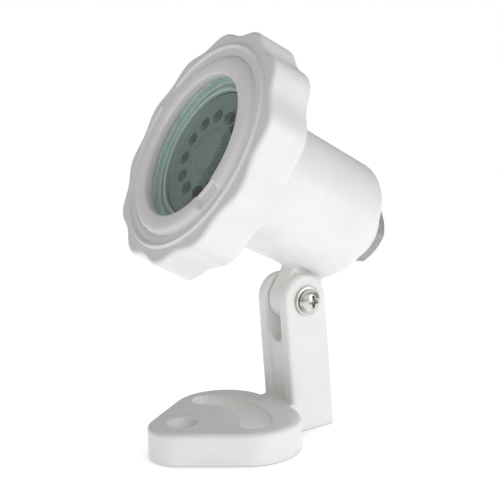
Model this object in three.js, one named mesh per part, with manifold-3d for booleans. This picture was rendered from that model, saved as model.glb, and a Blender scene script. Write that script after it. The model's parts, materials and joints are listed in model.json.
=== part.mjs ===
// Underwater pool light: a round lamp that tilts on a clevis foot.
//
// Millimetres, +Z up. The light faces -Y and the pivot screw's head is on the +X side.
// The origin is on the underside of the foot, straight below the tilt axis.
//
// Three nested frames hold the parts:
//   light      the row frame, for the foot bracket
//   tilting    at the pivot, with +Z along the beam and +Y square to it, for the lug
//   lamp       on the lamp axis, with +Z along the beam, for everything that is round

import * as THREE from 'three';
import { mergeVertices } from 'three/addons/utils/BufferGeometryUtils.js';
import Module from 'manifold-3d';

// ---------------------------------------------------------------- driving dimensions

const GAP = 0.3;                    // clearance between pieces that rest on each other
const BORE_PLAY = 0.2;              // radial clearance of the pivot screw in its bores

// Foot plate. Its outline is a nose round the front screw hole and two rear lobes.
const FOOT_THICKNESS = 12.1;
const FOOT_HOLE_Y = -53.2;
const NOSE_RADIUS = 13.2;
const LOBE_RADIUS = 20.0;
const LOBE_X = 10.0;
const LOBE_Y = -29.3;
const FOOT_EDGE_ROUND = 1.2;
const FOOT_WALL = 2.6;              // of the hollow underside
const SCREW_HOLE_RADIUS = 2.75;
const COUNTERSINK_RADIUS = 5.8;
const COUNTERSINK_DEPTH = 4.2;
const SLOT_RADIUS = 28.1;           // of the arc slot's centre line, about the front hole
const SLOT_HALF_WIDTH = 5.5;
const SLOT_HALF_ANGLE = THREE.MathUtils.degToRad(41);

// Clevis column, moulded in one with the foot plate.
const PIVOT_HEIGHT = 53.4;
const COLUMN_WIDTH = 20.1;
const COLUMN_FRONT_Y = -7.5;        // at the floor
const COLUMN_BACK_Y = 13.6;         // at the floor
const EAR_RADIUS = 10.3;
const EAR_EDGE_ROUND = 1.4;
const CLEVIS_GAP = 9.6;
const CLEVIS_DEPTH = 17;            // from the tilt axis down to the bottom of the gap
const WEB_SETBACK = 1.3;            // of the web's front behind the ears' front edges
const WEB_THICKNESS = 7.5;
const CHANNEL_FLOOR = 4;

// Lamp axis, from the tilt axis.
const REST_TILT = THREE.MathUtils.degToRad(25.3);
const AXIS_OFFSET = 37.8;

// Housing. Heights along the lamp axis count from the tilt axis.
const BODY_RADIUS = 26.4;
const BODY_WALL = 2.7;
const BODY_REAR = -11.9;
const BODY_REAR_ROUND = 5.4;
const REAR_WALL = 3.0;
const COLLAR_REAR = 51.4;
const COLLAR_FRONT = 64.2;
const COLLAR_RADIUS = 37.0;
const COLLAR_FILLET = 3.0;
const POCKET_RADIUS = 32.4;         // holds the glass
const POCKET_FLOOR = 55.9;
const SEAT_RADIUS = 26.4;           // holds the lamp's rim
const LUG_THICKNESS = 8.6;
const LUG_RADIUS = 8.6;
const LUG_ROOT_FRONT = 6.6;         // front and rear ends of the lug where it meets the body
const LUG_ROOT_REAR = -9.5;

// Clamp ring.
const RING_FACE = 67.4;
const RING_DEPTH = 16.2;
const RING_RADIUS = 47.0;           // to the lobes' crests, at the face
const RING_REAR_RADIUS = 47.7;
const RING_EDGE_ROUND = 1.3;
const RING_BORE = 38.9;
const OPENING_RADIUS = 28.4;
const LIP_DEPTH = 2.8;              // of the lip's underside behind the face
const BEAD_RADIUS = 32.4;
const BEAD_HEIGHT = 1.6;
const BEAD_FOOT = 36.0;
const OPENING_EDGE_HEIGHT = 0.7;    // above the face, like the bead's height
const RIDGE_RADIUS = 40.1;
const RIDGE_HEIGHT = 0.9;
const LOBE_COUNT = 12;
const NOTCH_ANGLE = THREE.MathUtils.degToRad(22);
const NOTCH_DEPTH = 2.4;
const CHANNEL_WIDTH = 10;
const RIDGE_CHANNEL_ANGLE = THREE.MathUtils.degToRad(145);
const BEAD_CHANNEL_ANGLE = THREE.MathUtils.degToRad(322);

// Glass and what holds it.
const GLASS_RADIUS = 31.9;
const GLASS_THICKNESS = 5;
const SLIP_WASHER_THICKNESS = 0.5;

// Gland at the rear.
const BOSS_RADIUS = 14.5;
const BOSS_REAR = -21.2;
const SPIGOT_RADIUS = 9.7;
const SPIGOT_REAR = -25.6;
const SEAL_POCKET_RADIUS = 7.0;
const CABLE_RADIUS = 3.6;
const CABLE_PLAY = 0.5;
const CABLE_END = -34.5;
const NUT_ACROSS_FLATS = 24.4;
const NUT_REAR = -29.4;

// Threads. Both are right-handed ridges that run between each other.
const RING_PITCH = 3.5;
const GLAND_PITCH = 1.5;

// Pivot screw, an M5 pan head with two washers and a nut.
const SCREW_RADIUS = 2.5;
const HEAD_RADIUS = 5.1;
const HEAD_HEIGHT = 3.3;
const WASHER_RADIUS = 5.9;
const WASHER_THICKNESS = 1.0;
const PIVOT_NUT_ACROSS_FLATS = 8;
const PIVOT_NUT_HEIGHT = 4;

// Lamp, a 50 mm LED reflector lamp on two pins.
const LAMP_FACE = 56.6;
const LED_COUNT = 12;
const LED_CIRCLE_RADIUS = 15;
const PIN_SPACING = 5.33;
const PIN_RADIUS = 0.8;

// How finely curves are cut into flats.
const RING_SEGMENTS = 60;
const BODY_SEGMENTS = 40;
const DISC_SEGMENTS = 36;
const SMALL_SEGMENTS = 20;
const THREAD_SEGMENTS = 20;         // in one turn

// ---------------------------------------------------------------- solids and joins

const wasm = await Module();
wasm.setup();

// A closed three.js geometry as a solid. Triangles that shrank to a line on an axis are dropped.
function toSolid(geometry) {
  const plain = geometry.clone();
  plain.deleteAttribute('normal');
  plain.deleteAttribute('uv');
  const merged = mergeVertices(plain, 1e-4);
  const corners = merged.index.array;
  const kept = [];
  for (let i = 0; i < corners.length; i += 3) {
    const [a, b, c] = [corners[i], corners[i + 1], corners[i + 2]];
    if (a !== b && b !== c && c !== a) kept.push(a, b, c);
  }
  return new wasm.Manifold(new wasm.Mesh({
    numProp: 3,
    vertProperties: new Float32Array(merged.attributes.position.array),
    triVerts: new Uint32Array(kept),
  }));
}

function toGeometry(solid) {
  const { vertProperties, triVerts } = solid.getMesh();
  const geometry = new THREE.BufferGeometry();
  geometry.setAttribute('position', new THREE.BufferAttribute(vertProperties, 3));
  geometry.setIndex(new THREE.BufferAttribute(triVerts, 1));
  geometry.computeVertexNormals();
  return geometry;
}

function join(...solids) {
  return solids.reduce((sum, solid) => sum.add(solid));
}

function cut(solid, ...tools) {
  return tools.reduce((rest, tool) => rest.subtract(tool), solid);
}

// ---------------------------------------------------------------- shapes

// Points of an arc about (x, y), from one angle to another in degrees.
function arc(x, y, radius, from, to, steps) {
  const points = [];
  for (let i = 0; i <= steps; i += 1) {
    const angle = THREE.MathUtils.degToRad(from + ((to - from) * i) / steps);
    points.push([x + radius * Math.cos(angle), y + radius * Math.sin(angle)]);
  }
  return points;
}

// A solid of revolution about Z. The profile is a list of [radius, z]: it starts and ends on the
// axis, or it is a loop that this function closes.
function revolve(profile, segments = SMALL_SEGMENTS) {
  const points = profile.map(([radius, z]) => new THREE.Vector2(radius, z));
  if (THREE.ShapeUtils.area(points) < 0) points.reverse();
  if (points[0].x > 0 || points[points.length - 1].x > 0) points.push(points[0].clone());
  const geometry = new THREE.LatheGeometry(points, segments);
  geometry.rotateX(Math.PI / 2);
  return toSolid(geometry);
}

// A round bar or a tube along Z between two heights.
function round(radius, low, high, segments = SMALL_SEGMENTS) {
  return revolve([[0, low], [radius, low], [radius, high], [0, high]], segments);
}

function tube(inner, outer, low, high, segments = SMALL_SEGMENTS) {
  return revolve([[inner, low], [outer, low], [outer, high], [inner, high]], segments);
}

function box(centre, size) {
  const geometry = new THREE.BoxGeometry(...size);
  geometry.translate(...centre);
  return toSolid(geometry);
}

// A shape pushed along Z from one height to another, with its edges rounded inside its outline.
function extrude(shape, low, high, edge = 0) {
  const geometry = new THREE.ExtrudeGeometry(shape, {
    depth: high - low - 2 * edge,
    bevelEnabled: edge > 0,
    bevelThickness: edge,
    bevelSize: edge,
    bevelOffset: -edge,
    bevelSegments: 2,
    curveSegments: 10,
  });
  geometry.translate(0, 0, low + edge);
  return geometry;
}

// A side profile drawn in (y, z), given its width along X and centred on the middle plane.
function extrudeAcross(shape, width, edge = 0) {
  const geometry = extrude(shape, -width / 2, width / 2, edge);
  const [x, y, z] = [[1, 0, 0], [0, 1, 0], [0, 0, 1]].map((v) => new THREE.Vector3(...v));
  geometry.applyMatrix4(new THREE.Matrix4().makeBasis(y, z, x));
  return toSolid(geometry);
}

function polygon(points) {
  return new THREE.Shape(points.map(([x, y]) => new THREE.Vector2(x, y)));
}

function hexagon(acrossFlats) {
  const corner = acrossFlats / Math.sqrt(3);
  return polygon(arc(0, 0, corner, 0, 300, 5));
}

// One thread ridge: a straight bar whose length is wound round Z as a right-handed helix.
// The ridge is baseWidth wide at baseRadius and narrows towards crestRadius.
function threadRidge({ baseRadius, crestRadius, baseWidth, crestWidth, pitch, start, turns }) {
  const shape = polygon([
    [-baseWidth / 2, baseRadius],
    [baseWidth / 2, baseRadius],
    [crestWidth / 2, crestRadius],
    [-crestWidth / 2, crestRadius],
  ]);
  const geometry = new THREE.ExtrudeGeometry(shape, {
    depth: turns * 2 * Math.PI,
    steps: Math.round(turns * THREAD_SEGMENTS),
    bevelEnabled: false,
  });
  const position = geometry.attributes.position;
  for (let i = 0; i < position.count; i += 1) {
    const [along, radius, angle] = [position.getX(i), position.getY(i), position.getZ(i)];
    const rise = (pitch * angle) / (2 * Math.PI);
    position.setXYZ(i, radius * Math.cos(angle), radius * Math.sin(angle), start + along + rise);
  }
  return toSolid(geometry);
}

// ---------------------------------------------------------------- materials and nodes

const FINISHES = {
  whiteAbs: { color: 0xeeede9, roughness: 0.35, metalness: 0 },
  greenGlass: { color: 0x8fc4b8, roughness: 0.05, metalness: 0, transparent: true, opacity: 0.4 },
  blackRubber: { color: 0x1d1f20, roughness: 0.8, metalness: 0 },
  clearFilm: { color: 0xd8d8d2, roughness: 0.5, metalness: 0 },
  paleSilicone: { color: 0xd9e0dc, roughness: 0.6, metalness: 0 },
  stainless: { color: 0xc4c4c2, roughness: 0.3, metalness: 1 },
  greyNylon: { color: 0x9b9c98, roughness: 0.5, metalness: 0 },
  castAluminium: { color: 0xb4b8b8, roughness: 0.45, metalness: 0.9 },
  lensPlastic: { color: 0xb9d2cb, roughness: 0.15, metalness: 0 },
  circuitBoard: { color: 0x2e6b4a, roughness: 0.6, metalness: 0 },
  ledYellow: { color: 0xe8cf5a, roughness: 0.4, metalness: 0 },
  ceramic: { color: 0xe9e5da, roughness: 0.7, metalness: 0 },
  brass: { color: 0xb99b56, roughness: 0.35, metalness: 1 },
  cableBlack: { color: 0x222427, roughness: 0.6, metalness: 0 },
  coreBrown: { color: 0x6b4226, roughness: 0.5, metalness: 0 },
  coreBlue: { color: 0x2a58a8, roughness: 0.5, metalness: 0 },
};

function part(name, solid, finish) {
  const mesh = new THREE.Mesh(toGeometry(solid), new THREE.MeshStandardMaterial(FINISHES[finish]));
  mesh.name = name;
  return mesh;
}

// ---------------------------------------------------------------- foot bracket

// The foot and the column are extruded with rounded edges, from this far below the floor. What is
// below the floor is then cut off, so the edge at the floor stays sharp.
const BURIED = 3;

function belowFloor() {
  const reach = 200;
  return box([0, 0, -BURIED], [reach, reach, 2 * BURIED]);
}

// Lobes and nose joined by straight tangents. The outline moves inwards by inset.
function footOutline(inset = 0) {
  const nose = NOSE_RADIUS - inset;
  const lobe = LOBE_RADIUS - inset;
  const [dx, dy] = [LOBE_X, LOBE_Y - FOOT_HOLE_Y];
  const bearing = Math.atan2(dy, dx);
  const side = bearing - Math.acos((nose - lobe) / Math.hypot(dx, dy));
  const shape = new THREE.Shape();
  shape.absarc(0, FOOT_HOLE_Y, nose, Math.PI - side, 2 * Math.PI + side, false);
  shape.absarc(LOBE_X, LOBE_Y, lobe, side, Math.PI / 2, false);
  shape.absarc(-LOBE_X, LOBE_Y, lobe, Math.PI / 2, Math.PI - side, false);
  return shape;
}

// The arc slot's outline about the front hole, grown by margin.
function slotOutline(margin = 0) {
  const half = SLOT_HALF_WIDTH + margin;
  const [from, to] = [Math.PI / 2 - SLOT_HALF_ANGLE, Math.PI / 2 + SLOT_HALF_ANGLE];
  const shape = new THREE.Shape();
  const end = (angle, turn) => {
    const [x, y] = [SLOT_RADIUS * Math.cos(angle), FOOT_HOLE_Y + SLOT_RADIUS * Math.sin(angle)];
    shape.absarc(x, y, half, turn, turn + Math.PI, false);
  };
  shape.absarc(0, FOOT_HOLE_Y, SLOT_RADIUS + half, from, to, false);
  end(to, to);
  shape.absarc(0, FOOT_HOLE_Y, SLOT_RADIUS - half, to, from, true);
  end(from, from + Math.PI);
  return shape;
}

function makeFootPlate() {
  const blank = toSolid(extrude(footOutline(), -BURIED, FOOT_THICKNESS, FOOT_EDGE_ROUND));
  const hollow = cut(
    toSolid(extrude(footOutline(FOOT_WALL), -1, FOOT_THICKNESS - FOOT_WALL)),
    toSolid(extrude(slotOutline(FOOT_WALL), -2, FOOT_THICKNESS)),
    round(COUNTERSINK_RADIUS + FOOT_WALL, -2, FOOT_THICKNESS).translate([0, FOOT_HOLE_Y, 0]),
    box([0, FOOT_HOLE_Y + SLOT_RADIUS / 2, 0], [FOOT_WALL, SLOT_RADIUS, 3 * FOOT_THICKNESS]),
  );
  const screwHole = revolve([
    [0, -1],
    [SCREW_HOLE_RADIUS, -1],
    [SCREW_HOLE_RADIUS, FOOT_THICKNESS - COUNTERSINK_DEPTH],
    [COUNTERSINK_RADIUS, FOOT_THICKNESS],
    [COUNTERSINK_RADIUS, FOOT_THICKNESS + 1],
    [0, FOOT_THICKNESS + 1],
  ]).translate([0, FOOT_HOLE_Y, 0]);
  const slot = toSolid(extrude(slotOutline(), -1, FOOT_THICKNESS + 1));
  return { plate: cut(blank, belowFloor()), hollow, holes: join(screwHole, slot) };
}

// The column's side view in (y, z): two straight edges that run up into the round ear.
function columnOutline() {
  const edge = (y, turn) => {
    const distance = Math.hypot(y, PIVOT_HEIGHT);
    return Math.atan2(-PIVOT_HEIGHT, y) + turn * Math.acos(EAR_RADIUS / distance);
  };
  const [front, back] = [edge(COLUMN_FRONT_Y, -1), edge(COLUMN_BACK_Y, 1)];
  const shape = new THREE.Shape();
  shape.moveTo(COLUMN_FRONT_Y, -BURIED);
  shape.lineTo(COLUMN_BACK_Y, -BURIED);
  shape.absarc(0, PIVOT_HEIGHT, EAR_RADIUS, back, front + 2 * Math.PI, false);
  return shape;
}

function makeColumn() {
  const blank = extrudeAcross(columnOutline(), COLUMN_WIDTH, EAR_EDGE_ROUND);
  const gapBottom = PIVOT_HEIGHT - CLEVIS_DEPTH;
  const gapRadius = CLEVIS_GAP / 2;
  const across = 60;
  const gapRound = new THREE.CylinderGeometry(gapRadius, gapRadius, across, SMALL_SEGMENTS);
  const gapFlat = gapBottom + gapRadius;
  const gapTop = PIVOT_HEIGHT + 2 * EAR_RADIUS;
  gapRound.translate(0, 0, gapFlat);
  const gap = join(
    toSolid(gapRound),
    box([0, 0, (gapFlat + gapTop) / 2], [CLEVIS_GAP, across, gapTop - gapFlat]),
  );
  const lean = (COLUMN_FRONT_Y + EAR_RADIUS) / PIVOT_HEIGHT;
  const frontFace = (z) => COLUMN_FRONT_Y - lean * z;
  const channel = (nearY, farY, bottom) => extrudeAcross(polygon([
    [frontFace(bottom) + nearY, bottom],
    [frontFace(bottom) + farY, bottom],
    [frontFace(gapTop) + farY, gapTop],
    [frontFace(gapTop) + nearY, gapTop],
  ]), CLEVIS_GAP);
  const bore = round(SCREW_RADIUS + BORE_PLAY, -across / 2, across / 2)
    .rotate([0, 90, 0])
    .translate([0, 0, PIVOT_HEIGHT]);
  return {
    column: cut(blank, belowFloor()),
    cuts: join(
      gap,
      channel(-across, WEB_SETBACK, FOOT_THICKNESS),
      channel(WEB_SETBACK + WEB_THICKNESS, across, CHANNEL_FLOOR),
      bore,
    ),
  };
}

// The short neck that carries the plate's level top on into the column.
function makeNeck() {
  const [front, back] = [LOBE_Y + LOBE_RADIUS - 2 * FOOT_EDGE_ROUND, COLUMN_FRONT_Y + 2];
  const middle = (front + back) / 2;
  return box([0, middle, FOOT_THICKNESS / 2], [COLUMN_WIDTH, back - front, FOOT_THICKNESS]);
}

function makeBracket() {
  const { plate, hollow, holes } = makeFootPlate();
  const { column, cuts } = makeColumn();
  const shell = cut(plate, hollow);
  return part('base_bracket', cut(join(shell, makeNeck(), column), cuts, holes), 'whiteAbs');
}

// ---------------------------------------------------------------- pivot hardware

// Pieces are drawn about Z and then turned so that +Z lies along +X.
function onPivot(solid) {
  return solid.rotate([0, 90, 0]).translate([0, 0, PIVOT_HEIGHT]);
}

const WASHER_SEAT = COLUMN_WIDTH / 2 + GAP;
const HEAD_SEAT = WASHER_SEAT + WASHER_THICKNESS + GAP;

function makePivotScrew() {
  const tip = -(HEAD_SEAT + PIVOT_NUT_HEIGHT + 1.5);
  const rim = HEAD_SEAT + 0.4 * HEAD_HEIGHT;
  const top = HEAD_SEAT + HEAD_HEIGHT;
  const crown = HEAD_RADIUS - 1.9;
  const turned = revolve([
    [0, tip],
    [SCREW_RADIUS - 0.6, tip],
    [SCREW_RADIUS, tip + 0.6],
    [SCREW_RADIUS, HEAD_SEAT],
    [HEAD_RADIUS - 0.3, HEAD_SEAT],
    [HEAD_RADIUS, HEAD_SEAT + 0.4],
    [HEAD_RADIUS, rim],
    [HEAD_RADIUS - 0.6, rim + 1.1],
    [crown, top - 0.15],
    [0, top],
  ]);
  const crossLength = 5.2;
  const crossWidth = 1.0;
  const crossDepth = 3.2;
  const cross = join(
    box([0, 0, top], [crossLength, crossWidth, crossDepth]),
    box([0, 0, top], [crossWidth, crossLength, crossDepth]),
  );
  return part('pivot_screw', onPivot(cut(turned, cross)), 'stainless');
}

function makePivotWasher(name, low) {
  const ring = tube(SCREW_RADIUS + GAP, WASHER_RADIUS, low, low + WASHER_THICKNESS);
  return part(name, onPivot(ring), 'stainless');
}

function makePivotNut() {
  const outer = -HEAD_SEAT - PIVOT_NUT_HEIGHT;
  const body = toSolid(extrude(hexagon(PIVOT_NUT_ACROSS_FLATS), outer, -HEAD_SEAT));
  const bore = round(SCREW_RADIUS + GAP, outer - 1, 0);
  return part('pivot_nut', onPivot(cut(body, bore)), 'stainless');
}

// ---------------------------------------------------------------- housing

const BODY_BORE = BODY_RADIUS - BODY_WALL;
const SPIGOT_BORE = CABLE_RADIUS + CABLE_PLAY;

function makeHousing() {
  const outside = revolve([
    [0, SPIGOT_REAR],
    [SPIGOT_RADIUS, SPIGOT_REAR],
    [SPIGOT_RADIUS, BOSS_REAR],
    [BOSS_RADIUS - 0.8, BOSS_REAR],
    [BOSS_RADIUS, BOSS_REAR + 0.8],
    [BOSS_RADIUS, BODY_REAR],
    ...arc(BODY_RADIUS - BODY_REAR_ROUND, BODY_REAR + BODY_REAR_ROUND, BODY_REAR_ROUND, -90, 0, 4),
    ...arc(BODY_RADIUS + COLLAR_FILLET, COLLAR_REAR - COLLAR_FILLET, COLLAR_FILLET, 180, 90, 2),
    [COLLAR_RADIUS, COLLAR_REAR],
    [COLLAR_RADIUS, COLLAR_FRONT],
    [0, COLLAR_FRONT],
  ], BODY_SEGMENTS);
  const inside = revolve([
    [0, SPIGOT_REAR - 1],
    [SEAL_POCKET_RADIUS, SPIGOT_REAR - 1],
    [SEAL_POCKET_RADIUS, BOSS_REAR],
    [SPIGOT_BORE, BOSS_REAR],
    [SPIGOT_BORE, BODY_REAR + REAR_WALL],
    [BODY_BORE - 2.5, BODY_REAR + REAR_WALL],
    [BODY_BORE, BODY_REAR + REAR_WALL + 2.5],
    [BODY_BORE, COLLAR_REAR],
    [SEAT_RADIUS, COLLAR_REAR],
    [SEAT_RADIUS, POCKET_FLOOR],
    [POCKET_RADIUS, POCKET_FLOOR],
    [POCKET_RADIUS, COLLAR_FRONT + 1],
    [0, COLLAR_FRONT + 1],
  ], BODY_SEGMENTS);
  const solid = cut(
    join(outside, makeLug(), makeCollarThread(), makeSpigotThread()),
    inside,
    makeLugBore(),
  );
  return part('lamp_housing', solid, 'whiteAbs');
}

// The lug in the lamp frame: straight sides from the body's underside to a round end on the pivot.
function makeLug() {
  const [y, z] = [[0, 1, 0], [0, 0, 1]].map((v) => new THREE.Vector3(...v));
  const tangent = (rootZ, turn) => {
    const rootY = AXIS_OFFSET - BODY_BORE;
    const distance = Math.hypot(rootZ, rootY);
    return Math.atan2(rootY, rootZ) + turn * Math.acos(LUG_RADIUS / distance);
  };
  const shape = new THREE.Shape();
  shape.moveTo(LUG_ROOT_REAR, -BODY_BORE);
  const [rear, front] = [tangent(LUG_ROOT_REAR, 1), tangent(LUG_ROOT_FRONT, -1)];
  shape.absarc(0, -AXIS_OFFSET, LUG_RADIUS, rear, front + 2 * Math.PI, false);
  shape.lineTo(LUG_ROOT_FRONT, -BODY_BORE);
  const geometry = extrude(shape, -LUG_THICKNESS / 2, LUG_THICKNESS / 2, 0.6);
  geometry.applyMatrix4(new THREE.Matrix4().makeBasis(z, y, new THREE.Vector3(-1, 0, 0)));
  return toSolid(geometry);
}

function makeLugBore() {
  return round(SCREW_RADIUS + BORE_PLAY, -LUG_THICKNESS, LUG_THICKNESS)
    .rotate([0, 90, 0])
    .translate([0, -AXIS_OFFSET, 0]);
}

const RING_THREAD = { baseWidth: 1.6, crestWidth: 0.9, pitch: RING_PITCH, start: COLLAR_REAR + 1.9 };
const GLAND_THREAD = { baseWidth: 0.8, crestWidth: 0.45, pitch: GLAND_PITCH, start: SPIGOT_REAR + 0.8 };
const RING_THREAD_HEIGHT = 1.3;
const GLAND_THREAD_HEIGHT = 0.6;
const THREAD_ROOT = 0.4;            // how deep a ridge's base is sunk into its piece

function makeCollarThread() {
  return threadRidge({
    ...RING_THREAD,
    turns: 2.5,
    baseRadius: COLLAR_RADIUS - THREAD_ROOT,
    crestRadius: COLLAR_RADIUS + RING_THREAD_HEIGHT,
  });
}

function makeSpigotThread() {
  return threadRidge({
    ...GLAND_THREAD,
    turns: 2,
    baseRadius: SPIGOT_RADIUS - THREAD_ROOT,
    crestRadius: SPIGOT_RADIUS + GLAND_THREAD_HEIGHT,
  });
}

// ---------------------------------------------------------------- clamp ring

function makeClampRing() {
  const face = RING_FACE;
  const rear = face - RING_DEPTH;
  const lip = face - LIP_DEPTH;
  const hollow = revolve([
    [0, rear - 1],
    [RING_BORE, rear - 1],
    [RING_BORE, lip],
    [BEAD_FOOT - 1, lip],
    [BEAD_FOOT - 1, face + 1],
    [0, face + 1],
  ], RING_SEGMENTS);
  const groove = revolve([
    [BEAD_FOOT - 0.5, face - 0.8],
    [BEAD_FOOT + 0.5, face + 0.2],
    [BEAD_FOOT - 1.5, face + 0.2],
  ], RING_SEGMENTS);
  const bead = revolve([
    [BEAD_FOOT - 0.5, lip],
    [BEAD_FOOT - 0.5, face - 0.8],
    [BEAD_RADIUS + 2.2, face + 0.6],
    [BEAD_RADIUS, face + BEAD_HEIGHT],
    [BEAD_RADIUS - 2.2, face + 1.2],
    [OPENING_RADIUS, face + OPENING_EDGE_HEIGHT],
    [OPENING_RADIUS, lip],
  ], RING_SEGMENTS);
  const ridge = revolve([
    [RIDGE_RADIUS - 0.8, face - 0.5],
    [RIDGE_RADIUS + 0.8, face - 0.5],
    [RIDGE_RADIUS + 0.4, face + RIDGE_HEIGHT],
    [RIDGE_RADIUS - 0.4, face + RIDGE_HEIGHT],
  ], RING_SEGMENTS);
  const thread = threadRidge({
    ...RING_THREAD,
    start: RING_THREAD.start + RING_PITCH / 2,
    turns: 2.25,
    baseRadius: RING_BORE + THREAD_ROOT,
    crestRadius: RING_BORE - RING_THREAD_HEIGHT,
  });
  const solid = cut(
    join(cut(makeRingBlank(), hollow, groove), bead, ridge, thread),
    radialChannel(RIDGE_RADIUS, 4, RIDGE_CHANNEL_ANGLE),
    radialChannel(BEAD_RADIUS + 0.8, 6, BEAD_CHANNEL_ANGLE),
  );
  return part('clamp_ring', solid, 'whiteAbs');
}

// A disc with twelve soft lobes round its edge, which widens from its face to its rear.
function makeRingBlank() {
  const steps = 6 * LOBE_COUNT;
  const outline = [];
  for (let i = 0; i < steps; i += 1) {
    const angle = NOTCH_ANGLE + (i * 2 * Math.PI) / steps;
    const dip = (NOTCH_DEPTH / 2) * (1 + Math.cos(LOBE_COUNT * (angle - NOTCH_ANGLE)));
    outline.push([(RING_RADIUS - dip) * Math.cos(angle), (RING_RADIUS - dip) * Math.sin(angle)]);
  }
  const geometry = extrude(polygon(outline), RING_FACE - RING_DEPTH, RING_FACE, RING_EDGE_ROUND);
  const position = geometry.attributes.position;
  for (let i = 0; i < position.count; i += 1) {
    const depth = (RING_FACE - position.getZ(i)) / RING_DEPTH;
    const widen = 1 + (depth * (RING_REAR_RADIUS - RING_RADIUS)) / RING_RADIUS;
    position.setX(i, position.getX(i) * widen);
    position.setY(i, position.getY(i) * widen);
  }
  return toSolid(geometry);
}

// A block that levels a raised band of the ring's face over the channel's width.
function radialChannel(radius, length, angle) {
  const height = 4;
  return box([radius, 0, RING_FACE + height / 2], [length, CHANNEL_WIDTH, height])
    .rotate([0, 0, THREE.MathUtils.radToDeg(angle)]);
}

// ---------------------------------------------------------------- glass and seals

const SLIP_WASHER_FRONT = RING_FACE - LIP_DEPTH - GAP;
const GLASS_FRONT = SLIP_WASHER_FRONT - SLIP_WASHER_THICKNESS - GAP;
const GLASS_REAR = GLASS_FRONT - GLASS_THICKNESS;

function makeSlipWasher() {
  const rear = SLIP_WASHER_FRONT - SLIP_WASHER_THICKNESS;
  const ring = tube(OPENING_RADIUS + 0.8, GLASS_RADIUS, rear, SLIP_WASHER_FRONT, DISC_SEGMENTS);
  return part('glass_slip_washer', ring, 'clearFilm');
}

function makeGlass() {
  const bevel = 0.5;
  const disc = revolve([
    [0, GLASS_REAR],
    [GLASS_RADIUS - bevel, GLASS_REAR],
    [GLASS_RADIUS, GLASS_REAR + bevel],
    [GLASS_RADIUS, GLASS_FRONT - bevel],
    [GLASS_RADIUS - bevel, GLASS_FRONT],
    [0, GLASS_FRONT],
  ], DISC_SEGMENTS);
  return part('front_glass', disc, 'greenGlass');
}

function makeGlassGasket() {
  const [inner, outer] = [OPENING_RADIUS - 0.4, GLASS_RADIUS + 0.1];
  const ring = tube(inner, outer, POCKET_FLOOR + GAP, GLASS_REAR - GAP, DISC_SEGMENTS);
  return part('glass_gasket', ring, 'paleSilicone');
}

// ---------------------------------------------------------------- lamp

const SHELL_WALL = 1.2;
const RIM_REAR = COLLAR_REAR + GAP;
const LENS_PLATE_REAR = LAMP_FACE - 1.1;
const BOARD_FRONT = LENS_PLATE_REAR - 1.9;
const BOARD_THICKNESS = 1.5;
const BASE_FRONT = 17.5;
const BASE_REAR = 8;
const BASE_RADIUS = 8.4;

function makeLampRetainer() {
  const outer = SEAT_RADIUS - GAP;
  const ring = tube(outer - 1.3, outer, LAMP_FACE + 0.5, GLASS_REAR - GAP, DISC_SEGMENTS);
  return part('lamp_retaining_ring', ring, 'whiteAbs');
}

function makeLampShell() {
  const rimFront = LAMP_FACE + 0.2;
  const rimRadius = SEAT_RADIUS - 0.7;
  const shoulder = BODY_BORE - 0.4;
  const shell = revolve([
    [4, BASE_FRONT + GAP],
    [10, BASE_FRONT + GAP],
    [15, 26],
    [20.5, 40],
    [shoulder, RIM_REAR],
    [rimRadius, RIM_REAR],
    [rimRadius, rimFront],
    [rimRadius - SHELL_WALL, rimFront],
    [rimRadius - SHELL_WALL, LENS_PLATE_REAR - GAP],
    [shoulder - SHELL_WALL, LENS_PLATE_REAR - GAP],
    [20.5 - SHELL_WALL, 40.5],
    [15 - SHELL_WALL, 26.5],
    [10 - SHELL_WALL, BASE_FRONT + GAP + SHELL_WALL],
    [4, BASE_FRONT + GAP + SHELL_WALL],
  ], DISC_SEGMENTS);
  return part('lamp_shell', shell, 'castAluminium');
}

// The clear plate over the chips: a small dome over each one and a fluted drum in the middle.
function makeLensPlate() {
  const flutes = 30;
  const drumRadius = 10;
  const drumFront = GLASS_REAR - 0.9;
  const outline = [];
  for (let i = 0; i < 2 * flutes; i += 1) {
    const angle = (i * Math.PI) / flutes;
    const radius = i % 2 === 0 ? drumRadius : drumRadius - 0.6;
    outline.push([radius * Math.cos(angle), radius * Math.sin(angle)]);
  }
  const drum = toSolid(extrude(polygon(outline), LAMP_FACE - 0.5, drumFront));
  const dome = revolve([[0, -0.5], [2.6, -0.5], [2.3, 0.6], [0, 1.3]], 10);
  const domes = ledAngles().map((angle) => dome.translate(
    [LED_CIRCLE_RADIUS * Math.cos(angle), LED_CIRCLE_RADIUS * Math.sin(angle), LAMP_FACE],
  ));
  const plate = round(SEAT_RADIUS - 0.7 - SHELL_WALL - GAP, LENS_PLATE_REAR, LAMP_FACE, DISC_SEGMENTS);
  return part('lamp_lens_plate', join(plate, drum, ...domes), 'lensPlastic');
}

function ledAngles() {
  const step = (2 * Math.PI) / LED_COUNT;
  return Array.from({ length: LED_COUNT }, (_, i) => (i + 0.2) * step);
}

function makeLedBoard() {
  const disc = round(20.5, BOARD_FRONT - BOARD_THICKNESS, BOARD_FRONT);
  return part('led_board', disc, 'circuitBoard');
}

function makeLeds() {
  return ledAngles().map((angle, i) => {
    const chip = box([LED_CIRCLE_RADIUS, 0, BOARD_FRONT + GAP + 0.4], [3.0, 2.8, 0.8])
      .rotate([0, 0, THREE.MathUtils.radToDeg(angle)]);
    return part(`led_${String(i + 1).padStart(2, '0')}`, chip, 'ledYellow');
  });
}

function makeDriverBoard() {
  return part('led_driver_board', box([0, 0, 33], [18, 1.6, 22]), 'circuitBoard');
}

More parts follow.
